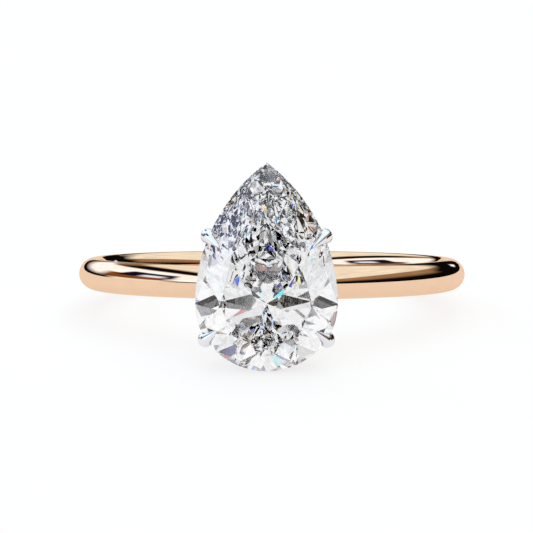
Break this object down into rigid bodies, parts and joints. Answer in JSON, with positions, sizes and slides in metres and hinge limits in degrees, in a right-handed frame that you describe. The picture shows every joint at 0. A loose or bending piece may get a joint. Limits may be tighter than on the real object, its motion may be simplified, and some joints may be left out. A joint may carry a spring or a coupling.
{
  "type": "engagement ring",
  "caption": "Solitaire engagement ring: a plain round-section rose-gold band with a white-metal claw basket that holds a pear-cut stone, point up.",
  "frame": {"origin": "centre of the finger hole, at the middle of the band's width", "axes": "+Z along the finger hole towards the stone's point, the stone faces -Y, +X to the right seen from the stone's front"},
  "size_m": [0.02, 0.0249, 0.0095],
  "materials": {
    "rose_gold": "mirror polished rose gold",
    "white_metal": "mirror polished white gold or platinum",
    "diamond": "clear, polished facets"
  },
  "bodies": {
    "root": {"shank": "rose_gold", "head_peg": "white_metal", "base_collet": "white_metal", "lower_gallery_rail": "white_metal", "upper_gallery_rail": "white_metal", "prong_upper_left": "white_metal", "prong_upper_right": "white_metal", "prong_lower_left": "white_metal", "prong_lower_right": "white_metal", "pear_diamond": "diamond"}
  },
  "joints": []
}
